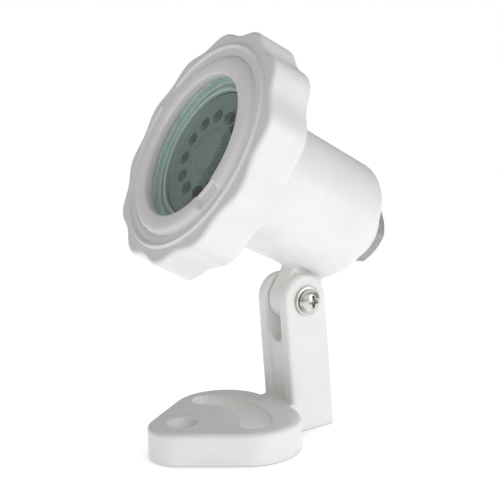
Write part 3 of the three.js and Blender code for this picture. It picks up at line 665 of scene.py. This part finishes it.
def build_housing():
    space = Space((-39.5, -48.5, -27), (39.5, 39.5, 65.5), 0.5)
    x, y, z = space.x, space.y, space.z
    radius = np.hypot(x, y)
    angle = np.arctan2(y, x)
    barrel = meet(radius - BODY_RADIUS, BODY_REAR - z, BODY_REAR_ROUND)
    barrel = np.maximum(barrel, z - COLLAR_FRONT)
    ridge_end = RING_THREAD_START + 2.5 * RING_PITCH
    collar = thread(
        radius - COLLAR_RADIUS, angle, z, RING_PITCH, RING_THREAD_START, ridge_end,
        RING_THREAD_HEIGHT,
    )
    collar = meet(collar, slab(z, COLLAR_REAR, COLLAR_FRONT), 0.4)
    outside = union(barrel, collar, COLLAR_FILLET)

    lug_edges = []
    root = AXIS_OFFSET - BODY_RADIUS + BODY_WALL
    for root_z, side in ((LUG_ROOT_REAR, 1), (LUG_ROOT_FRONT, -1)):
        distance = math.hypot(root_z, root)
        bearing = math.atan2(root, root_z) + side * math.acos(LUG_RADIUS / distance)
        normal = (math.cos(bearing), math.sin(bearing))
        lug_edges.append(z * normal[0] + (y + AXIS_OFFSET) * normal[1] - LUG_RADIUS)
    wedge = np.maximum(np.maximum(*lug_edges), -AXIS_OFFSET - y)
    lug = np.minimum(wedge, circle(z, y, LUG_RADIUS, 0, -AXIS_OFFSET))
    lug = np.maximum(lug, y + BODY_RADIUS - BODY_WALL)
    lug = meet(lug, np.abs(x) - LUG_THICKNESS / 2, 0.8)
    outside = union(outside, lug, 1.0)

    boss = meet(radius - BOSS_RADIUS, BOSS_REAR - z, 0.8)
    boss = np.maximum(boss, z)
    outside = union(outside, boss, 0.8)
    spigot_end = GLAND_THREAD_START + 2 * GLAND_PITCH
    spigot = thread(
        radius - SPIGOT_RADIUS, angle, z, GLAND_PITCH, GLAND_THREAD_START, spigot_end,
        GLAND_THREAD_HEIGHT,
    )
    spigot = np.maximum(spigot, slab(z, SPIGOT_REAR, 0))
    outside = np.minimum(outside, spigot)

    bore = meet(radius - (BODY_RADIUS - BODY_WALL), BODY_REAR + REAR_WALL - z, 2.0)
    bore = np.minimum(bore, np.maximum(radius - SEAT_RADIUS, COLLAR_REAR - z))
    bore = np.minimum(bore, np.maximum(radius - POCKET_RADIUS, POCKET_FLOOR - z))
    bore = np.minimum(bore, radius - (CABLE_RADIUS + CABLE_PLAY))
    bore = np.minimum(bore, np.maximum(radius - SEAL_POCKET_RADIUS, z - BOSS_REAR))
    solid = cut(outside, bore, 0.35)
    solid = cut(solid, circle(z, y, SCREW_RADIUS + 0.2, 0, -AXIS_OFFSET), 0.3)
    points, quads = surface(space, solid)
    add_piece("housing_moulding", points, quads, LAMP, "housing", ["lamp_housing"],
              [WHITE])


# ---------------------------------------------------------------- clamp ring


def smooth_step(value, low, high):
    t = np.clip((value - low) / (high - low), 0, 1)
    return t * t * (3 - 2 * t)


def notched_radius(angle, edge_radius):
    """The edge's radius: twelve soft lobes with shallow scoops between them."""
    wave = np.cos(LOBE_COUNT * (angle - NOTCH_ANGLE))
    return edge_radius - NOTCH_DEPTH * (1 + wave) / 2


def channel(angle, centre, radius):
    """1 away from a channel across a raised band and 0 inside it."""
    arc = np.abs((angle - centre + math.pi) % (2 * math.pi) - math.pi) * radius
    return smooth_step(arc, CHANNEL_HALF_WIDTH - 0.7, CHANNEL_HALF_WIDTH + 0.7)


def ring_outline():
    """The ring's section as rows of (kind, radius or inset, height above the rear face)."""
    face = RING_DEPTH
    edge = RING_FRONT_ROUND
    back = RING_REAR_ROUND
    rows = [("fixed", RING_BORE + 0.5, 0.0), ("fixed", RING_BORE + 2, 0.0), ("edge", 3.0, 0.0)]
    for k in range(5):
        a = math.radians(-90 + 22.5 * k)
        rows.append(("edge", back - back * math.cos(a), back + back * math.sin(a)))
    for k in range(1, 12):
        rows.append(("edge", 0.0, back + (face - edge - back) * k / 12))
    for k in range(8):
        a = math.radians(90 * k / 7)
        rows.append(("edge", edge - edge * math.cos(a), face - edge + edge * math.sin(a)))
    rows.append(("edge", 2.4, face))
    for radius in np.arange(RIDGE_RADIUS + 1.6, OPENING_RADIUS + 0.3, -0.2):
        rows.append(("face", float(radius), face))
    lip = face - LIP_DEPTH
    edge_top = face + OPENING_EDGE_HEIGHT
    rows.append(("fixed", OPENING_RADIUS + 0.1, edge_top - 0.15))
    rows.append(("fixed", OPENING_RADIUS, edge_top - 0.45))
    rows += [("fixed", OPENING_RADIUS, lip + 0.35), ("fixed", OPENING_RADIUS + 0.35, lip)]
    rows += [("fixed", r, lip) for r in (31.0, 35.0, RING_BORE - 0.4)]
    rows.append(("fixed", RING_BORE, lip - 0.4))
    rows += [("fixed", RING_BORE, h) for h in np.linspace(lip - 1.2, 0.5, 10)]
    return rows


def face_height(radius, angle):
    """How far the ring's face stands above its flat flange."""
    ridge = RIDGE_HEIGHT * np.exp(-(((radius - RIDGE_RADIUS) / RIDGE_HALF_WIDTH) ** 4))
    ridge = ridge * channel(angle, RIDGE_CHANNEL_ANGLE, RIDGE_RADIUS)
    groove = -GROOVE_DEPTH * np.exp(-(((radius - BEAD_FOOT) / GROOVE_HALF_WIDTH) ** 2))
    outer = np.clip((radius - BEAD_RADIUS) / (BEAD_FOOT - 0.5 - BEAD_RADIUS), 0, 1)
    inner = np.clip((BEAD_RADIUS - radius) / (BEAD_RADIUS - OPENING_RADIUS), 0, 1)
    rise = BEAD_HEIGHT - OPENING_EDGE_HEIGHT
    flank = np.sqrt(1 - outer**2)
    crest = flank * (OPENING_EDGE_HEIGHT + rise * np.sqrt(1 - inner**2))
    rim = OPENING_EDGE_HEIGHT * (1 - smooth_step(radius, OPENING_RADIUS + 1, OPENING_RADIUS + 2.2))
    open_here = channel(angle, BEAD_CHANNEL_ANGLE, BEAD_RADIUS)
    return ridge + groove + crest * open_here + rim * (1 - open_here)


def build_clamp_ring():
    segments = 600
    angle = np.arange(segments) * 2 * math.pi / segments
    rows = ring_outline()
    points = np.zeros((segments, len(rows), 3))
    for j, (kind, value, height) in enumerate(rows):
        taper = RING_REAR_RADIUS + (RING_RADIUS - RING_REAR_RADIUS) * height / RING_DEPTH
        if kind == "edge":
            radius = notched_radius(angle, taper) - value
        else:
            radius = np.full(segments, float(value))
        up = height
        if kind == "face":
            up = height + face_height(radius, angle)
        points[:, j, 0] = radius * np.cos(angle)
        points[:, j, 1] = radius * np.sin(angle)
        points[:, j, 2] = RING_FACE - RING_DEPTH + up
    skin = (points.reshape(-1, 3), grid_quads(segments, len(rows)))
    crest_radius = RING_BORE - RING_THREAD_HEIGHT
    ridge = helix_ridge(RING_BORE + 0.4, crest_radius, base_width=1.6, crest_width=0.9,
                        pitch=RING_PITCH, start=RING_THREAD_START + RING_PITCH / 2, turns=2.25)
    points, quads, _ = merged(skin, ridge)
    add_piece("clamp_ring_moulding", points, quads, LAMP, "clamp_ring", ["clamp_ring"],
              [WHITE])


def helix_ridge(base_radius, crest_radius, base_width, crest_width, pitch, start, turns):
    """A trapezoidal thread ridge wound round Z, with flat ends."""
    steps = int(turns * 90)
    angle = np.linspace(0, turns * 2 * math.pi, steps + 1)
    section = [(-base_width / 2, base_radius), (base_width / 2, base_radius),
               (crest_width / 2, crest_radius), (-crest_width / 2, crest_radius)]
    points = np.zeros((steps + 1, 4, 3))
    for j, (along, radius) in enumerate(section):
        points[:, j, 0] = radius * np.cos(angle)
        points[:, j, 1] = radius * np.sin(angle)
        points[:, j, 2] = start + along + pitch * angle / (2 * math.pi)
    i = np.arange(steps)[:, None]
    j = np.arange(4)[None, :]
    corners = [i * 4 + j, i * 4 + (j + 1) % 4, (i + 1) * 4 + (j + 1) % 4, (i + 1) * 4 + j]
    quads = np.stack([c.ravel() for c in corners], axis=1)
    last = steps * 4
    ends = np.array([[3, 2, 1, 0], [last, last + 1, last + 2, last + 3]])
    quads = np.concatenate([quads, ends])
    points = points.reshape(-1, 3)
    if signed_volume(points, quads) < 0:
        quads = quads[:, ::-1]
    return points, quads


# ---------------------------------------------------------------- lathed pieces


def build_lathed():
    """Rings and discs, each as (piece, body, CAD node, slot, material, frame, outline, round)."""
    seat = SEAT_RADIUS - 0.3
    rings = [
        ("glass_gasket_ring", "housing", "glass_gasket", "pale_silicone", SILICONE, LAMP,
         tube_outline(28.0, 32.0, POCKET_FLOOR + 0.3, GLASS_REAR - 0.3), 0.6),
        ("slip_washer_ring", "slip_washer", "glass_slip_washer", "clear_film", FILM, LAMP,
         tube_outline(29.2, GLASS_RADIUS, GLASS_FRONT + 0.3, GLASS_FRONT + 0.8), 0.15),
        ("lamp_retainer", "housing", "lamp_retaining_ring", "white_abs", WHITE, LAMP,
         tube_outline(seat - 1.3, seat, LAMP_FACE + 0.5, GLASS_REAR - 0.3), 0.4),
        ("led_board_disc", "housing", "led_board", "circuit_board", BOARD, LAMP,
         [(0, BOARD_FRONT - BOARD_THICKNESS), (BOARD_RADIUS, BOARD_FRONT - BOARD_THICKNESS),
          (BOARD_RADIUS, BOARD_FRONT), (0, BOARD_FRONT)], 0.15),
        ("gland_seal_bush", "housing", "gland_seal", "black_rubber", RUBBER, LAMP,
         tube_outline(3.9, 6.7, SPIGOT_REAR, NUT_FRONT), 0.5),
        ("gland_washer_ring", "gland_washer", "gland_washer", "clear_film", FILM, LAMP,
         tube_outline(3.9, 8.4, SPIGOT_REAR - 0.8, SPIGOT_REAR - 0.3), 0.12),
        ("screw_washer_ring", "pivot_screw_washer", "pivot_screw_washer", "stainless", STEEL,
         PIVOT, tube_outline(2.8, WASHER_RADIUS, WASHER_SEAT, WASHER_SEAT + WASHER_THICKNESS),
         0.22),
        ("nut_washer_ring", "bracket", "pivot_nut_washer", "stainless", STEEL, PIVOT,
         tube_outline(2.8, WASHER_RADIUS, -WASHER_SEAT - WASHER_THICKNESS, -WASHER_SEAT), 0.22),
    ]
    for name, body, node, slot, material, matrix, outline, corner in rings:
        points, quads = lathe(rounded(outline, corner), 128)
        add_piece(name, points, quads, matrix, body, [node], [material])


def build_glass():
    """The pane, clear through its faces and ground round its edge."""
    outline = [(0, GLASS_REAR), (GLASS_RADIUS, GLASS_REAR), (GLASS_RADIUS, GLASS_FRONT),
               (0, GLASS_FRONT)]
    points, quads = lathe(rounded(outline, GLASS_EDGE_ROUND), 128)
    centres = points[quads].mean(axis=1)
    edge = np.hypot(centres[:, 0], centres[:, 1]) > GLASS_RADIUS - GLASS_EDGE_ROUND
    add_piece("glass_pane", points, quads, LAMP, "housing", ["front_glass"],
              [GLASS, GROUND_GLASS], edge.astype(int))


def build_lamp_shell():
    """The reflector lamp's shell: a stepped cup."""
    base = 17.8
    wall = 1.2
    rim = SEAT_RADIUS - 0.7
    shoulder = BODY_RADIUS - BODY_WALL - 0.4
    outer = [(4, base), (10, base), (15, 26), (20.5, 40), (shoulder, COLLAR_REAR + 0.3),
             (rim, COLLAR_REAR + 0.3), (rim, LAMP_FACE + 0.2)]
    inner = [(rim - wall, LAMP_FACE + 0.2), (rim - wall, LENS_REAR - 0.3),
             (shoulder - wall, LENS_REAR - 0.3), (20.5 - wall, 40.5), (15 - wall, 26.5),
             (10 - wall, base + wall), (4, base + wall)]
    points, quads = lathe(rounded(outer + inner, 0.5), 128)
    add_piece("lamp_shell_cup", points, quads, LAMP, "housing", ["lamp_shell"],
              [ALUMINIUM])


def led_angles():
    return [(i + 0.2) * 2 * math.pi / LED_COUNT for i in range(LED_COUNT)]


def build_lens_plate():
    """The lamp's front: a dome over each chip and a fluted drum in the middle."""
    space = Space((-25, -25, LENS_REAR - 0.6), (25, 25, GLASS_REAR), 0.28)
    x, y, z = space.x, space.y, space.z
    radius, angle = np.hypot(x, y), np.arctan2(y, x)
    plate = meet(radius - LENS_RADIUS, slab(z, LENS_REAR, LAMP_FACE), 0.3)
    wave = np.cos(DRUM_FLUTES * angle)
    flutes = 0.4 * wave
    drum_front = GLASS_REAR - 0.9
    crown = np.exp(-(((radius - DRUM_CROWN_RADIUS) / 1.5) ** 2))
    ribs = (0.55 + 0.35 * wave) * crown
    dish = drum_front - 1.0 + ribs
    drum = meet(radius - DRUM_RADIUS - flutes, slab(z, LAMP_FACE - 0.5, dish), 0.5)
    drum = cut(drum, meet(radius - 3.2, LAMP_FACE + 1.0 - z, 0.4), 0.5)
    solid = union(plate, drum, 0.5)
    for led in led_angles():
        cx, cy = LED_CIRCLE_RADIUS * math.cos(led), LED_CIRCLE_RADIUS * math.sin(led)
        dome = np.sqrt((x - cx) ** 2 + (y - cy) ** 2 + (z - LAMP_FACE + 1.9) ** 2) - 3.2
        solid = union(solid, np.maximum(dome, LAMP_FACE - 0.5 - z), 0.4)
    points, quads = surface(space, solid)
    centres = points[quads].mean(axis=1)
    cell = np.zeros(len(quads), int)
    for led in led_angles():
        cx, cy = LED_CIRCLE_RADIUS * math.cos(led), LED_CIRCLE_RADIUS * math.sin(led)
        near = np.hypot(centres[:, 0] - cx, centres[:, 1] - cy) < LENS_CELL_RADIUS
        cell[near & (centres[:, 2] > LAMP_FACE - 0.2)] = 1
    add_piece("lens_plate", points, quads, LAMP, "housing", ["lamp_lens_plate"],
              [LENS, LENS_CELL], cell)


def build_leds():
    """Each chip is a white package with a domed phosphor window."""
    low = BOARD_FRONT + 0.3
    for i, led in enumerate(led_angles()):
        space = Space((-1.9, -1.9, low - 0.3), (1.9, 1.9, low + 1.2), 0.1)
        x, y, z = space.x, space.y, space.z
        package = meet(np.abs(x) - 1.5, np.abs(y) - 1.4, 0.2)
        package = meet(package, slab(z, low, low + 0.6), 0.12)
        window = np.sqrt(x * x + y * y + (z - low + 1.0) ** 2) - 1.8
        window = np.maximum(window, low + 0.45 - z)
        parts = merged(surface(space, package), surface(space, window))
        turn = Matrix.Rotation(led, 4, "Z") @ Matrix.Translation((LED_CIRCLE_RADIUS, 0, 0))
        add_piece(f"led_package_{i + 1:02d}", parts[0], parts[1], LAMP @ turn, "housing",
                  [f"led_{i + 1:02d}"], [CERAMIC, PHOSPHOR], parts[2])


# ---------------------------------------------------------------- cable and gland


def build_gland_nut():
    space = Space((-15, -13.5, NUT_REAR - 0.8), (15, 13.5, NUT_FRONT + 0.8), 0.28)
    x, y, z = space.x, space.y, space.z
    radius, angle = np.hypot(x, y), np.arctan2(y, x)
    solid = meet(hexagon(x, y, NUT_ACROSS_FLATS), slab(z, NUT_REAR, NUT_FRONT), 0.5)
    corner = NUT_ACROSS_FLATS / math.sqrt(3)
    rear_cone = (radius - corner) * 0.55 + (NUT_REAR + 3.9 - z) * 0.83
    front_cone = (radius - corner) * 0.5 + (z - NUT_FRONT + 0.5) * 0.86
    solid = meet(meet(solid, rear_cone, 0.5), front_cone, 0.3)
    collar = meet(radius - 8.2, slab(z, NUT_REAR - 0.01, NUT_FRONT), 0.5)
    solid = np.minimum(solid, collar)
    floor = SPIGOT_REAR - 1.1
    hollow = np.maximum(radius - (SPIGOT_RADIUS + 0.9), floor - z)
    ridge_start = GLAND_THREAD_START + GLAND_PITCH / 2
    hollow = np.maximum(
        thread(-(radius - SPIGOT_RADIUS - 0.9), angle, z, GLAND_PITCH, ridge_start,
               ridge_start + 1.25 * GLAND_PITCH, GLAND_THREAD_HEIGHT) * -1,
        hollow,
    )
    solid = cut(solid, hollow, 0.3)
    solid = cut(solid, radius - (CABLE_RADIUS + CABLE_PLAY), 0.4)
    points, quads = surface(space, solid)
    add_piece("gland_nut_moulding", points, quads, LAMP, "gland_nut", ["gland_nut"],
              [NYLON])


def build_cable():
    """The sheath, cut square, with its two cores showing in the cut end."""
    front = BODY_REAR + REAR_WALL + 0.6
    sheath = lathe(rounded([(0, CABLE_END + 0.05), (CABLE_RADIUS, CABLE_END),
                            (CABLE_RADIUS, front), (0, front)], 0.25), 64)
    cores = []
    for side in (-1, 1):
        for size, reach in ((1.25, 0.25), (0.75, 0.5)):
            points, quads = lathe(rounded([(0, CABLE_END - reach), (size, CABLE_END - reach),
                                           (size, CABLE_END + 1), (0, CABLE_END + 1)], 0.1), 32)
            cores.append((points + np.array([side * 1.55, 0, 0]), quads))
    points, quads, number = merged(sheath, *cores)
    slots = np.array([0, 1, 3, 2, 3])[number]
    add_piece("cable_stub", points, quads, LAMP, "housing", ["cable_sheath"],
              [CABLE, CORE_BROWN, CORE_BLUE, COPPER], slots)


# ---------------------------------------------------------------- pivot hardware


def build_pivot_screw():
    """A pan head with a cross recess, and a threaded shank."""
    tip = -(HEAD_SEAT + PIVOT_NUT_HEIGHT + 1.5)
    top = HEAD_SEAT + HEAD_HEIGHT
    space = Space((-5.8, -5.8, tip - 0.5), (5.8, 5.8, top + 0.5), 0.13)
    x, y, z = space.x, space.y, space.z
    radius, angle = np.hypot(x, y), np.arctan2(y, x)
    crown_radius = 6.6
    crown = np.sqrt(radius**2 + (z - top + crown_radius) ** 2) - crown_radius
    head = meet(radius - HEAD_RADIUS, HEAD_SEAT - z, 0.25)
    head = meet(head, crown, 1.1)
    thread_depth = 0.32
    thread_end = 4.0
    root = radius - SCREW_RADIUS + thread_depth
    core = thread(root, angle, z, SCREW_PITCH, tip + 0.4, thread_end, 0.34)
    plain = np.maximum(radius - SCREW_RADIUS, slab(z, thread_end - 0.4, HEAD_SEAT + 0.5))
    shank = meet(core, slab(z, tip, HEAD_SEAT + 0.5), 0.6)
    solid = np.minimum(np.minimum(head, shank), plain)
    recess_depth = 2.6
    depth = top - z
    reach = 2.75 - 0.42 * depth
    width = 0.62 - 0.1 * depth
    arms = np.minimum(
        np.maximum(np.abs(x) - reach, np.abs(y) - width),
        np.maximum(np.abs(y) - reach, np.abs(x) - width),
    )
    heart = radius - (1.45 - 0.35 * depth)
    recess = np.maximum(union(arms, heart, 0.2), depth - recess_depth)
    solid = cut(solid, recess, 0.12)
    points, quads = surface(space, solid)
    add_piece("pivot_screw_turned", points, quads, PIVOT, "pivot_screw", ["pivot_screw"],
              [STEEL])


def build_pivot_nut():
    outer = -HEAD_SEAT - PIVOT_NUT_HEIGHT
    space = Space((-5.2, -4.6, outer - 0.5), (5.2, 4.6, -HEAD_SEAT + 0.5), 0.15)
    x, y, z = space.x, space.y, space.z
    radius = np.hypot(x, y)
    solid = np.maximum(hexagon(x, y, PIVOT_NUT_ACROSS_FLATS), slab(z, outer, -HEAD_SEAT))
    corner = PIVOT_NUT_ACROSS_FLATS / math.sqrt(3)
    for distance in (z - outer, -HEAD_SEAT - z):
        solid = meet(solid, (radius - corner) * 0.5 + (0.45 - distance) * 0.86, 0.1)
    solid = cut(solid, radius - SCREW_RADIUS - 0.3, 0.2)
    points, quads = surface(space, solid)
    add_piece("pivot_nut_hex", points, quads, PIVOT, "bracket", ["pivot_nut"],
              [STEEL])


# ---------------------------------------------------------------- CAD nodes that stay


def finish_cad_nodes():
    kept = {
        "led_driver_board": BOARD,
        "lamp_base": CERAMIC,
        "lamp_holder": CERAMIC,
        "lamp_pin_left": BRASS,
        "lamp_pin_right": BRASS,
        "cable_core_brown": CORE_BROWN,
        "cable_core_blue": CORE_BLUE,
    }
    for node, material in kept.items():
        piece = frame["nodes"][node]
        piece.data.materials.clear()
        piece.data.materials.append(material)
        bevel = piece.modifiers.new("edge_round", "BEVEL")
        bevel.width = 0.2 * MM
        bevel.segments = 2
        bevel.limit_method = "ANGLE"
        bevel.angle_limit = math.radians(50)


# ---------------------------------------------------------------- stage, lights and camera


def build_floor():
    """A pale floor that glows, so that it reads as white, with a painted shadow where it is close
    to the object.
    """
    mesh = bpy.data.meshes.new("floor")
    half = 4.0
    corners = [(-half, -half), (half, -half), (half, half), (-half, half)]
    mesh.from_pydata([(x, y, -FLOOR_DROP * MM) for x, y in corners], [], [(0, 1, 2, 3)])
    floor = bpy.data.objects.new("floor", mesh)
    bpy.context.scene.collection.objects.link(floor)
    shader = Shader("floor_paint")
    shader.set(Base_Color=(0.55, 0.55, 0.55, 1), Roughness=0.9, Specular_IOR_Level=0.0)
    shader.set(Emission_Color=(1, 1, 1, 1))
    # Ambient occlusion dims the glow near the object: a painted contact shadow round the foot and
    # painted shade seen through its slot.
    open_sky = shader.nodes.new("ShaderNodeAmbientOcclusion")
    open_sky.inputs["Distance"].default_value = SHADOW_REACH * MM
    painted_shadow_openness = open_sky.outputs["AO"]
    glow = shader.remap(painted_shadow_openness, SHADOW_GLOW, FLOOR_GLOW, from_low=0, from_high=0.85)
    shader.link(glow, shader.principled.inputs["Emission Strength"])
    mesh.materials.append(shader.material)


def add_area_light(name, azimuth, elevation, distance, size, power, colour):
    """An area light aimed at the object's middle."""
    low, high = CAD_BOX
    target = (low + high) / 2
    a, e = math.radians(azimuth), math.radians(elevation)
    back = Vector((math.sin(a) * math.cos(e), -math.cos(a) * math.cos(e), math.sin(e)))
    data = bpy.data.lights.new(name, "AREA")
    data.shape = "RECTANGLE"
    data.size, data.size_y = size
    data.energy = power
    data.color = colour
    light = bpy.data.objects.new(name, data)
    light.location = target + back * distance
    light.rotation_mode = "QUATERNION"
    light.rotation_quaternion = (-back).to_track_quat("-Z", "Y")
    bpy.context.scene.collection.objects.link(light)


def build_world():
    """White to the camera, and softer grey as a light source."""
    world = bpy.data.worlds.new("studio")
    bpy.context.scene.world = world
    world.use_nodes = True
    nodes, links = world.node_tree.nodes, world.node_tree.links
    seen = nodes["Background"]
    seen.inputs["Color"].default_value = (1, 1, 1, 1)
    lit = nodes.new("ShaderNodeBackground")
    lit.inputs["Color"].default_value = (1.0, 0.98, 0.965, 1)
    lit.inputs["Strength"].default_value = SURROUNDINGS_POWER
    path = nodes.new("ShaderNodeLightPath")
    blend = nodes.new("ShaderNodeMixShader")
    links.new(path.outputs["Is Camera Ray"], blend.inputs["Fac"])
    links.new(lit.outputs["Background"], blend.inputs[1])
    links.new(seen.outputs["Background"], blend.inputs[2])
    links.new(blend.outputs["Shader"], nodes["World Output"].inputs["Surface"])


def build_camera():
    data = bpy.data.cameras.new("camera")
    data.sensor_width = 36.0
    data.lens = CAMERA_LENS
    data.clip_start = 0.01
    camera = bpy.data.objects.new("camera", data)
    bpy.context.scene.collection.objects.link(camera)
    place = Vector(CAMERA_PLACE) * MM
    target = Vector(CAMERA_TARGET) * MM
    turn = (target - place).to_track_quat("-Z", "Y").to_matrix()
    roll = Matrix.Rotation(CAMERA_ROLL, 3, "Z")
    camera.location = place
    camera.rotation_mode = "QUATERNION"
    camera.rotation_quaternion = (turn @ roll).to_quaternion()
    bpy.context.scene.camera = camera


build_bracket()
build_housing()
build_clamp_ring()
build_lathed()
build_glass()
build_lamp_shell()
build_lens_plate()
build_leds()
build_gland_nut()
build_cable()
build_pivot_screw()
build_pivot_nut()
finish_cad_nodes()
build_floor()
build_world()
add_area_light("key", azimuth=112, elevation=14, distance=0.75, size=(0.5, 0.6), power=1.8,
               colour=(0.98, 0.99, 1.0))
add_area_light("fill", azimuth=60, elevation=30, distance=0.9, size=(0.7, 0.7), power=1.0,
               colour=(1.0, 0.96, 0.93))
build_camera()
bpy.context.scene.view_settings.view_transform = "Standard"
